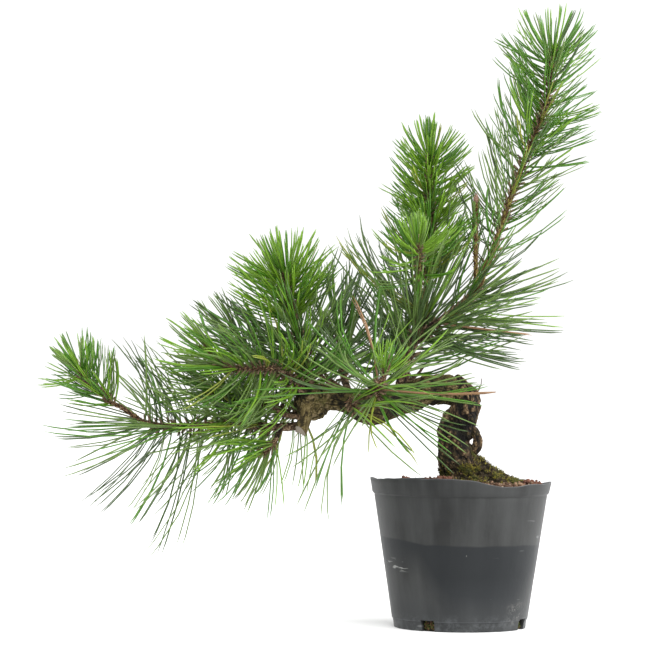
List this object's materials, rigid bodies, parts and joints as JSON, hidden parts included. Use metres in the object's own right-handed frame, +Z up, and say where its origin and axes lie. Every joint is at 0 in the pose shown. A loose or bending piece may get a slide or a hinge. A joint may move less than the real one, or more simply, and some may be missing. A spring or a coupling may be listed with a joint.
{
  "type": "potted black pine",
  "caption": "Old nursery black pine in a round plastic pot: a short bent trunk with a long side arm, upright leading shoots and drooping bunches of long needles.",
  "frame": {"origin": "centre of the pot's flat underside, on the surface it stands on", "axes": "+Z up along the pot's axis, +X towards the leaning leader (the picture's right), +Y away from the viewer of the picture"},
  "size_m": [0.4605, 0.2536, 0.5099],
  "materials": {
    "pot": "satin",
    "soil": "matte",
    "moss": "matte",
    "trunk_bark": "matte",
    "bough_bark": "matte",
    "needles_young": "satin",
    "needles_old": "satin"
  },
  "bodies": {
    "root": {"pot": "pot", "soil": "soil", "moss": "moss", "trunk": "trunk_bark", "trunk_arm": "trunk_bark", "trunk_stub": "trunk_bark", "bough_right": "bough_bark", "bough_leader": "bough_bark", "bough_mid": "bough_bark", "bough_left": "bough_bark", "bough_left_back": "bough_bark", "bough_low": "bough_bark", "bough_far": "bough_bark", "bough_under": "bough_bark", "bough_front": "bough_bark", "bough_front_low": "bough_bark", "bough_back": "bough_bark", "bough_back_right": "bough_bark", "needles_leader": "needles_young", "needles_centre": "needles_young", "needles_mid": "needles_young", "needles_left": "needles_old", "needles_left_back": "needles_old", "needles_low": "needles_old", "needles_far": "needles_old", "needles_under": "needles_old", "needles_front": "needles_old", "needles_front_low": "needles_old", "needles_back": "needles_old", "needles_back_right": "needles_old"}
  },
  "joints": []
}
